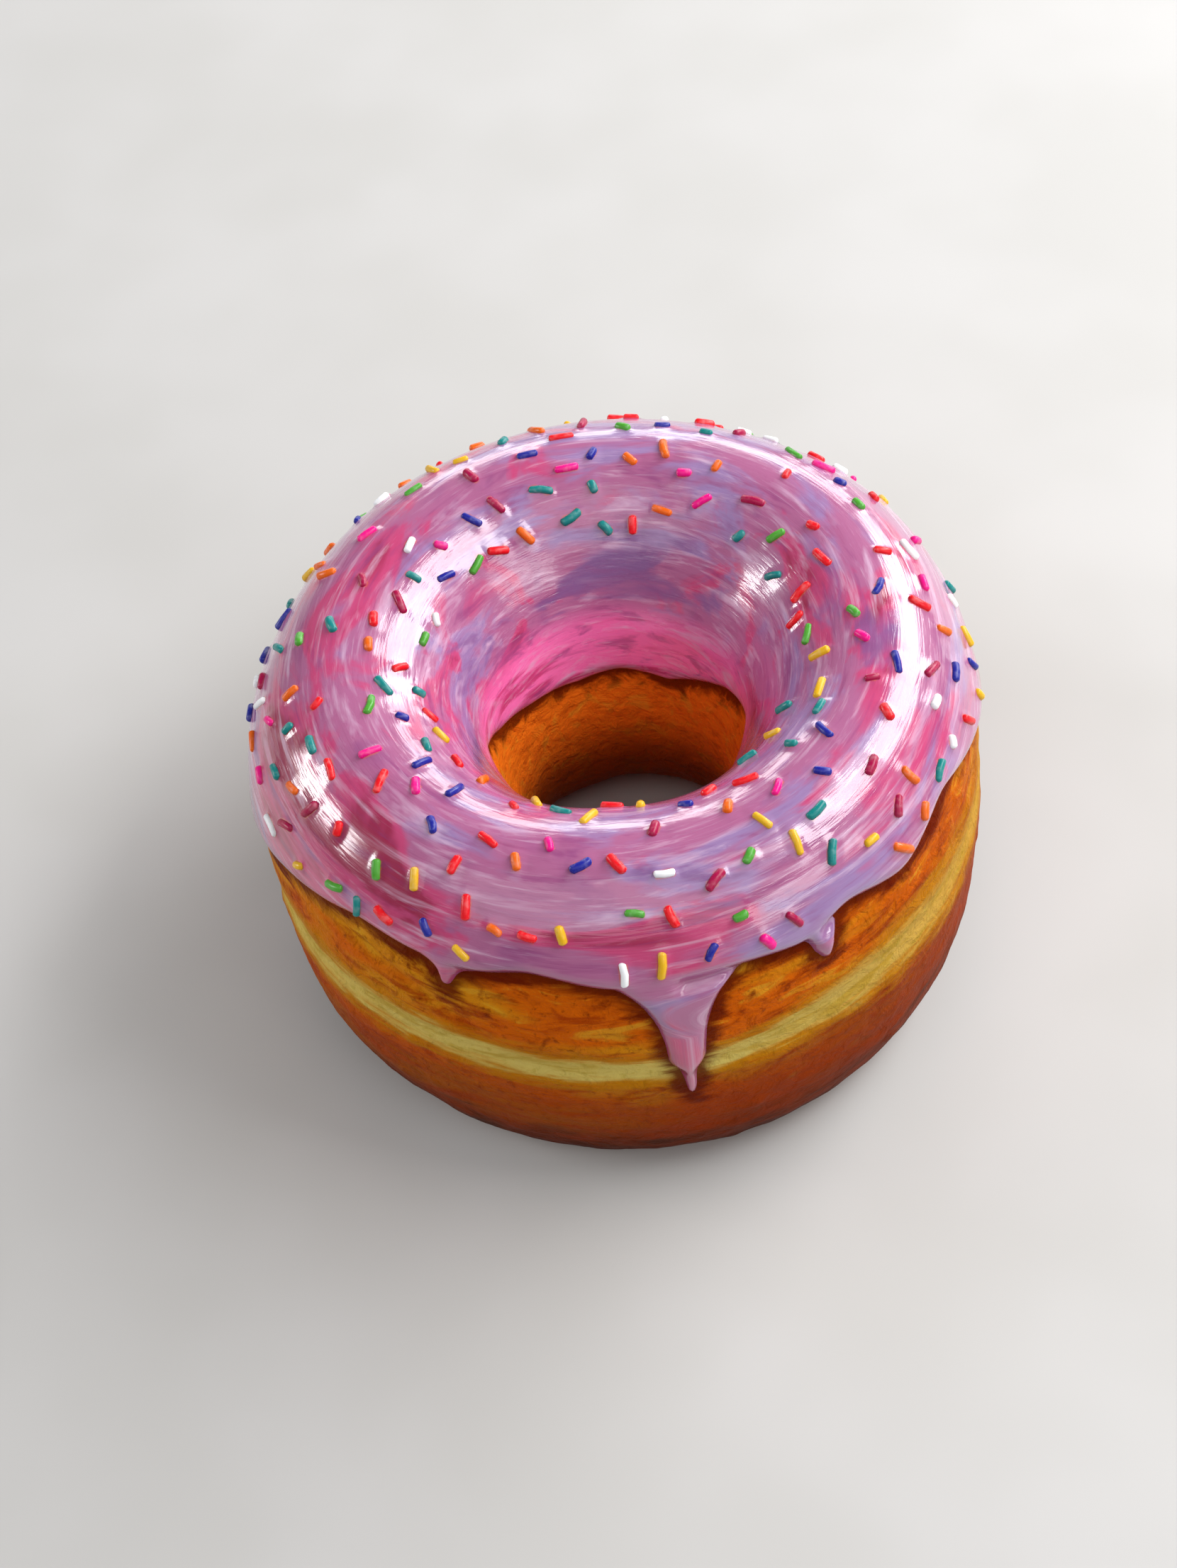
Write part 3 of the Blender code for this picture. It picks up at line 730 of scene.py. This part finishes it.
def fried_colour(tree, place, broad, streaks, stretched, wrinkles):
    """The colour of the crust outside the hole and away from the pale line."""
    # Freckles of about 1 mm, from sugar that caught in the fat.
    mottle = add(
        tree, "ShaderNodeTexNoise", {},
        {"Vector": place, "Scale": 1 / (1.1 * MM), "Detail": 4.0, "Roughness": 0.65},
    )
    colour = tinted(tree, shade("#C95C07"), "#C97F12", broad, 0.42, 0.62)
    colour = tinted(tree, colour, "#9A3304", streaks, 0.50, 0.66, 0.8)
    colour = tinted(tree, colour, "#D29A26", streaks, 0.43, 0.30, 0.65)
    colour = tinted(tree, colour, "#7C2A04", stretched, 0.54, 0.74, 0.6)
    colour = tinted(tree, colour, "#7E2C04", wrinkles, 0.54, 0.70, 0.55)
    colour = tinted(tree, colour, "#5E1A03", mottle, 0.54, 0.74, 0.6)
    # Painted shade, more towards the foot and on the right than on the left: by so much for each metre.
    parts = add(tree, "ShaderNodeSeparateXYZ", {}, {"Vector": place})
    side = add(tree, "ShaderNodeMath", {"operation": "MULTIPLY"}, {0: parts.outputs["X"], 1: 12.0})
    low = add(tree, "ShaderNodeMath", {"operation": "MULTIPLY"}, {0: parts.outputs["Z"], 1: -20.0})
    painted_shade_share = add(tree, "ShaderNodeMath", {"operation": "ADD"}, {0: side, 1: low})
    painted_shade_share = add(tree, "ShaderNodeMath", {"operation": "ADD"}, {0: streaks, 1: painted_shade_share})
    colour = tinted(tree, colour, "#883005", painted_shade_share, -0.1, 0.55, 0.82)
    # Painted shade is darkest at the foot, and the streaks make the border of the dark wavy.
    wavy = add(tree, "ShaderNodeMath", {"operation": "MULTIPLY"}, {0: streaks, 1: 24 * MM})
    wavy_height = add(tree, "ShaderNodeMath", {"operation": "ADD"}, {0: parts.outputs["Z"], 1: wavy})
    colour = tinted(tree, colour, "#8C2E04", wavy_height, 43 * MM, 28 * MM, 0.76)
    colour = tinted(tree, colour, "#3A1003", wavy_height, 30 * MM, 15 * MM, 0.9)
    return colour, mottle, parts.outputs["Z"]


def hole_colour(tree, colour, across, streaks, stretched):
    """The colour with the hole's over it: orange, partly painted light, streaked golden and brown, and darker
    from the waist down with painted shade.
    """
    in_hole = add(tree, "ShaderNodeMapRange", SMOOTH, {"Value": across, "From Min": -23.0, "From Max": -29.0})
    # A bright orange over the hole's wall: partly its paler fry, partly painted light that lifts its shade.
    colour = tinted(tree, colour, "#F2781A", in_hole, 0.0, 1.0, 0.9)
    golden = add(tree, "ShaderNodeMath", {"operation": "MULTIPLY"}, {0: in_hole, 1: streaks})
    colour = tinted(tree, colour, "#E09A2A", golden, 0.50, 0.70, 0.6)
    brown = add(tree, "ShaderNodeMath", {"operation": "SUBTRACT"}, {0: in_hole, 1: stretched})
    colour = tinted(tree, colour, "#A63A08", brown, 0.50, 0.74, 0.5)
    # Painted shade, darker brown from the waist down.
    return tinted(tree, colour, "#6A2006", across, -37.0, -50.0, 0.8)


def ragged_line(tree, from_line, broad, stretched):
    """The distance to the pale line in mm, with edges that wander and are drawn out along the ring."""
    ragged = add(
        tree, "ShaderNodeMapRange", {},
        {"Value": stretched, "From Min": 0.3, "From Max": 0.7, "To Min": -1.0, "To Max": 1.0},
    )
    wander = add(
        tree, "ShaderNodeMapRange", {},
        {"Value": broad, "From Min": 0.3, "From Max": 0.7, "To Min": -0.7, "To Max": 0.7},
    )
    off_line = add(tree, "ShaderNodeMath", {"operation": "ADD"}, {0: from_line, 1: ragged})
    off_line = add(tree, "ShaderNodeMath", {"operation": "ABSOLUTE"}, {0: off_line})
    return add(tree, "ShaderNodeMath", {"operation": "ADD"}, {0: off_line, 1: wander})


def line_colour(tree, colour, off_line, paleness, streaks, mottle):
    """The crust's colour with the pale line over it: gold where the crust thins out, and then cream."""
    colour = tinted(tree, colour, "#B97A0C", off_line, 5.2, 2.4, 0.88)
    colour = tinted(tree, colour, "#D2BD66", off_line, 3.0, 0.9, paleness)
    crumb = add(tree, "ShaderNodeMapRange", SMOOTH, {"Value": off_line, "From Min": 3.0, "From Max": 1.2})
    drawn_out = add(tree, "ShaderNodeMath", {"operation": "MULTIPLY"}, {0: crumb, 1: streaks})
    colour = tinted(tree, colour, "#AE8824", drawn_out, 0.46, 0.64, 0.7)
    pitted = add(tree, "ShaderNodeMath", {"operation": "MULTIPLY"}, {0: crumb, 1: mottle})
    return tinted(tree, colour, "#B49A3E", pitted, 0.54, 0.70, 0.6)


def fried_yeast_dough():
    """Yeast dough, proved and fried on both sides. The eye gets a satin orange-brown crust, streaked and
    mottled, with painted shade that darkens it towards the foot, and a pale matt line where the dough floated
    and never met the fat."""
    made, tree, place = start_material("fried_yeast_dough")
    from_line, paleness, from_icing, across = (
        add(tree, "ShaderNodeAttribute", {"attribute_name": name}, {}).outputs["Fac"]
        for name in ("from_line", "paleness", "from_icing", "across")
    )
    # The skin stretched round the ring as it rose, and browned in streaks. Its wrinkles are 1 to 3 mm long.
    broad = streaked(tree, place, 17 * MM, 8 * MM, 2.0, 0.5, 0.6)
    streaks = streaked(tree, place, 8 * MM, 3.2 * MM, 5.0, 0.62, 0.9)
    stretched = streaked(tree, place, 5 * MM, 1.1 * MM, 4.0, 0.6, 0.4)
    wrinkles = add(
        tree, "ShaderNodeTexNoise", {},
        {"Vector": place, "Scale": 1 / (2.2 * MM), "Detail": 5.0, "Roughness": 0.62, "Distortion": 0.6},
    )
    colour, mottle, height = fried_colour(tree, place, broad, streaks, stretched, wrinkles)
    colour = hole_colour(tree, colour, across, streaks, stretched)
    # Underneath, where it lay flat on the fat, it is an even brown again.
    colour = tinted(tree, colour, "#8E450B", height, 4 * MM, 1.5 * MM, 0.85)
    off_line = ragged_line(tree, from_line, broad, stretched)
    colour = line_colour(tree, colour, off_line, paleness, streaks, mottle)
    # Painted shadow: a dark red-brown band on the crust along the icing's edge, reaching further in some
    # places than in others.
    lip_shadow_reach = add(tree, "ShaderNodeMath", {"operation": "MULTIPLY"}, {0: streaks, 1: 7.0})
    painted_lip_shadow = add(tree, "ShaderNodeMath", {"operation": "SUBTRACT"}, {0: from_icing, 1: lip_shadow_reach})
    colour = tinted(tree, colour, "#5C1203", painted_lip_shadow, -0.4, -2.8, 0.9)
    # Pores about 0.5 mm across, on top of the wrinkles and streaks.
    pores = add(tree, "ShaderNodeTexNoise", {}, {"Vector": place, "Scale": 1 / (0.5 * MM), "Detail": 2.0})
    wrinkled = add(tree, "ShaderNodeBump", {}, {"Strength": 0.8, "Distance": 0.9 * MM, "Height": wrinkles})
    creased = add(
        tree, "ShaderNodeBump", {},
        {"Strength": 0.3, "Distance": 0.5 * MM, "Height": stretched, "Normal": wrinkled},
    )
    porous = add(
        tree, "ShaderNodeBump", {},
        {"Strength": 0.4, "Distance": 0.2 * MM, "Height": pores, "Normal": creased},
    )
    roughness = add(
        tree, "ShaderNodeMapRange", SMOOTH,
        {"Value": off_line, "From Min": 1.3, "From Max": 2.6, "To Min": 0.75, "To Max": 0.5},
    )
    finish_material(tree, {
        "Base Color": colour, "Roughness": roughness, "Normal": porous,
        "IOR": 1.42, "Specular IOR Level": 0.05, "Specular Tint": shade("#E8A868"),
        "Subsurface Weight": 0.04, "Subsurface Radius": (1.0, 0.4, 0.12), "Subsurface Scale": 1.0 * MM,
    })
    return made


def icing_colour(tree, place, streaks, lines):
    """The colours of the icing: pink with drifts of lilac and rose, a greyer violet that is painted shade,
    and a near-white pink that is painted highlight, all drawn out.
    """
    from_crest, rosy, violet, milky = (
        add(tree, "ShaderNodeAttribute", {"attribute_name": name}, {}).outputs["Fac"]
        for name in ("from_crest", "rosy", "violet", "milky")
    )
    patches = streaked(tree, place, 17 * MM, 7 * MM, 4.0, 0.55, 0.8)
    swirls = streaked(tree, place, 24 * MM, 5 * MM, 4.0, 0.55, 0.8)
    rose = add(tree, "ShaderNodeMath", {"operation": "ADD"}, {0: patches, 1: rosy})
    lilac = add(tree, "ShaderNodeMath", {"operation": "SUBTRACT"}, {0: swirls, 1: rosy})
    violet_tone_and_shade = add(tree, "ShaderNodeMath", {"operation": "ADD"}, {0: swirls, 1: violet})
    pale = add(tree, "ShaderNodeMath", {"operation": "ADD"}, {0: streaks, 1: milky})
    colour = tinted(tree, shade("#AB618B"), "#967DAE", lilac, 0.49, 0.64, 0.85)
    colour = tinted(tree, colour, "#C43D70", rose, 0.53, 0.64, 0.9)
    colour = tinted(tree, colour, "#951540", rose, 0.64, 0.77, 0.9)
    colour = tinted(tree, colour, "#8E4A7F", patches, 0.42, 0.28, 0.6)
    # On the steep wall of the hole a bright pink is painted light that lifts its shade. The icing is thin
    # there, and a deeper rose in streaks that go round the hole.
    limits = {"Value": from_crest, "From Min": -18.0, "From Max": -24.5}
    inner = add(tree, "ShaderNodeMapRange", SMOOTH, limits)
    inner_streaks = streaked(tree, place, 46 * MM, 2.4 * MM, 4.0, 0.55, 0.4)
    rosier = add(tree, "ShaderNodeMath", {"operation": "MULTIPLY"}, {0: inner, 1: inner_streaks})
    colour = tinted(tree, colour, "#F972B4", inner, 0.0, 1.0, 0.88)
    colour = tinted(tree, colour, "#B41F5C", rosier, 0.50, 0.64, 0.75)
    # Pale streaks, and a near-white pink that is painted highlight.
    colour = tinted(tree, colour, "#D6B4CE", pale, 0.52, 0.74, 0.7)
    colour = tinted(tree, colour, "#8C3C74", streaks, 0.45, 0.30, 0.6)
    colour = tinted(tree, colour, "#E4C6DC", lines, 0.55, 0.74, 0.34)
    colour = tinted(tree, colour, "#8E2F68", lines, 0.44, 0.28, 0.34)
    # Painted shade in a greyer violet, over violet swirls that differ at random.
    return tinted(tree, colour, "#7E4E86", violet_tone_and_shade, 0.60, 0.74, 0.8)


def sugar_icing():
    """Fondant icing, coloured pink, dipped warm and set. The eye gets a wet-looking gloss over a cloudy pink,
    with streaks of undermixed colour that follow the turn of the dip, and a deeper rose where it is thin."""
    made, tree, place = start_material("sugar_icing")
    from_edge, at_strand = (
        add(tree, "ShaderNodeAttribute", {"attribute_name": name}, {}).outputs["Fac"]
        for name in ("from_edge", "at_strand")
    )
    # Streaks under 2 mm wide and lines under a millimetre, drawn out as the wet icing slid.
    streaks = streaked(tree, place, 15 * MM, 1.8 * MM, 4.0, 0.6, 0.5)
    lines = streaked(tree, place, 11 * MM, 0.8 * MM, 3.0, 0.6, 0.6)
    colour = icing_colour(tree, place, streaks, lines)
    # It thins out at its edges too.
    colour = tinted(tree, colour, "#993E6C", from_edge, 1.6, 0.2, 0.35)
    # A warm orange ring round each strand, whatever the strand's colour: painted shadow at its foot.
    colour = tinted(tree, colour, "#D8702F", at_strand, 0.72, 1.0, 0.45)
    rippled = add(tree, "ShaderNodeBump", {}, {"Strength": 0.16, "Distance": 0.4 * MM, "Height": streaks})
    drawn = add(
        tree, "ShaderNodeBump", {},
        {"Strength": 0.28, "Distance": 0.2 * MM, "Height": lines, "Normal": rippled},
    )
    roughness = add(
        tree, "ShaderNodeMapRange", SMOOTH,
        {"Value": streaks, "From Min": 0.3, "From Max": 0.7, "To Min": 0.18, "To Max": 0.32},
    )
    finish_material(tree, {
        "Base Color": colour, "Roughness": roughness, "IOR": 1.49, "Normal": drawn,
        "Coat Weight": 0.9, "Coat Roughness": 0.1, "Coat IOR": 1.52, "Coat Normal": drawn,
        "Subsurface Weight": 0.12, "Subsurface Radius": (1.0, 0.5, 0.6), "Subsurface Scale": 1.0 * MM,
    })
    return made


def pressed_sugar(name, colour):
    """Sugar paste, pressed through a plate, cut, dried and polished with wax. The eye gets a satin rod of one
    strong colour, slightly clouded."""
    made, tree, place = start_material(name)
    # Undissolved sugar, finer than this really; it is drawn 0.9 mm across so that it shows.
    clouds = add(tree, "ShaderNodeTexNoise", {}, {"Vector": place, "Scale": 1 / (0.9 * MM), "Detail": 2.0})
    clouded = tinted(tree, shade(colour), "#F2EDEE", clouds, 0.48, 0.85, 0.14)
    uneven = add(tree, "ShaderNodeBump", {}, {"Strength": 0.25, "Distance": 0.08 * MM, "Height": clouds})
    roughness = add(
        tree, "ShaderNodeMapRange", SMOOTH,
        {"Value": clouds, "From Min": 0.3, "From Max": 0.7, "To Min": 0.26, "To Max": 0.42},
    )
    finish_material(tree, {
        "Base Color": clouded, "Roughness": roughness, "Normal": uneven,
        "IOR": 1.5, "Specular IOR Level": 0.35, "Subsurface Weight": 0.05, "Subsurface Scale": 0.3 * MM,
    })
    return made


# The strands' colours, and how many of each hundred have them.
STRAND_COLOURS = (
    ("red", "#EA1420", 17),
    ("orange", "#E8650C", 13),
    ("golden", "#E3B01B", 13),
    ("green", "#4E9F33", 9),
    ("teal", "#12807E", 15),
    ("navy", "#1E2390", 12),
    ("magenta", "#EE0F86", 7),
    ("crimson", "#A50A45", 7),
    ("white", "#F3F4F6", 7),
)


def make_strands(strands):
    """One mesh for each colour of strand."""
    draw = random.Random(STRAND_SEED + 1)
    meshes = {name: bmesh.new() for name, _, _ in STRAND_COLOURS}
    shares = [share for _, _, share in STRAND_COLOURS]
    for strand in strands:
        name = draw.choices(list(meshes), shares)[0]
        *_, length, diameter = strand
        add_strand(meshes[name], strand_place(*strand), length, diameter, draw)
    pieces = []
    for name, colour, _ in STRAND_COLOURS:
        mesh = bpy.data.meshes.new(f"strands_{name}")
        meshes[name].to_mesh(mesh)
        meshes[name].free()
        mesh.shade_smooth()
        mesh.materials.append(pressed_sugar(f"pressed_sugar_{name}", colour))
        piece = bpy.data.objects.new(f"strands_{name}", mesh)
        bpy.context.scene.collection.objects.link(piece)
        pieces.append(piece)
    return pieces


# Floor, lights and camera


def make_floor():
    """A plain pale floor."""
    bpy.ops.mesh.primitive_plane_add(size=FLOOR_SIZE, location=(0, 0, 0))
    floor = bpy.context.object
    floor.name = "floor"
    made, tree, place = start_material("pale_floor")
    speckle = add(tree, "ShaderNodeTexNoise", {}, {"Vector": place, "Scale": 1 / (40 * MM)})
    colour = tinted(tree, shade("#BFBDBA"), "#C4C2C0", speckle, 0.3, 0.7)
    finish_material(tree, {"Base Color": colour, "Roughness": 0.6})
    floor.data.materials.append(made)


def make_softbox(name, azimuth, elevation, distance, width, tall, glow, roll):
    """A soft lamp that faces the ring's middle. glow is how bright it looks, whatever its size."""
    turn, rise = math.radians(azimuth), math.radians(elevation)
    towards = Vector((math.cos(turn) * math.cos(rise), math.sin(turn) * math.cos(rise), math.sin(rise)))
    lamp = bpy.data.lights.new(name, "AREA")
    lamp.shape = "RECTANGLE"
    lamp.size, lamp.size_y = width, tall
    lamp.energy = glow * math.pi * width * tall
    made = bpy.data.objects.new(name, lamp)
    made.location = Vector((0, 0, RING_MIDDLE_HEIGHT)) + towards * distance
    rolled = Quaternion((0, 0, 1), math.radians(roll))
    made.rotation_euler = (towards.to_track_quat("Z", "Y") @ rolled).to_euler()
    bpy.context.scene.collection.objects.link(made)


def make_lights():
    """The soft lamps, and an even grey surround."""
    for softbox in SOFTBOXES:
        make_softbox(*softbox)
    world = bpy.data.worlds.new("studio_surround")
    world.use_nodes = True
    background = world.node_tree.nodes["Background"]
    background.inputs["Color"].default_value = shade(SURROUND_COLOUR)
    background.inputs["Strength"].default_value = SURROUND_STRENGTH
    bpy.context.scene.world = world


def make_camera():
    """The camera, rolled a little, as the picture was framed."""
    rise, roll = math.radians(CAMERA_ELEVATION), math.radians(CAMERA_ROLL)
    back = Vector((0, -math.cos(rise), math.sin(rise)))
    level_right, level_up = Vector((1, 0, 0)), Vector((0, math.sin(rise), math.cos(rise)))
    right = level_right * math.cos(roll) + level_up * math.sin(roll)
    up = -level_right * math.sin(roll) + level_up * math.cos(roll)
    ring_middle = MIDDLE + Vector((0, 0, RING_MIDDLE_HEIGHT))
    stand = ring_middle + back * CAMERA_DISTANCE
    aim = ring_middle - right * AIM_LEFT - up * AIM_BELOW
    back = (stand - aim).normalized()
    right = up.cross(back).normalized()
    turned = Matrix((right, back.cross(right), back)).transposed().to_4x4()
    camera = bpy.data.cameras.new("camera")
    camera.lens = CAMERA_LENS
    camera.clip_start = CAMERA_NEAREST
    made = bpy.data.objects.new("camera", camera)
    made.matrix_world = Matrix.Translation(stand) @ turned
    bpy.context.scene.collection.objects.link(made)
    bpy.context.scene.camera = made


def dress(piece, node):
    """Hands a finished piece to the frame."""
    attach(piece, "root")
    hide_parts(node)


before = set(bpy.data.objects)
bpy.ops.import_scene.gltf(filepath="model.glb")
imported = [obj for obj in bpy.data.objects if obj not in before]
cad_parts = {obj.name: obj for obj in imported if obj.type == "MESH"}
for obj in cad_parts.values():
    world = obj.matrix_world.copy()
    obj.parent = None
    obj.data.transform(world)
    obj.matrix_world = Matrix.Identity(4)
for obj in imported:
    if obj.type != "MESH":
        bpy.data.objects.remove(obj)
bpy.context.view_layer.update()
icing_edge = icing_border()
thrown = throw_strands()

crust = make_crust(icing_edge)
crust.data.materials.append(fried_yeast_dough())
dress(crust, "dough_ring")

icing = make_icing(icing_edge, thrown)
icing.data.materials.append(sugar_icing())
dress(icing, "icing")

for strand_piece in make_strands(thrown):
    dress(strand_piece, "icing")

make_floor()
make_lights()
make_camera()
bpy.context.scene.view_settings.view_transform = "Standard"
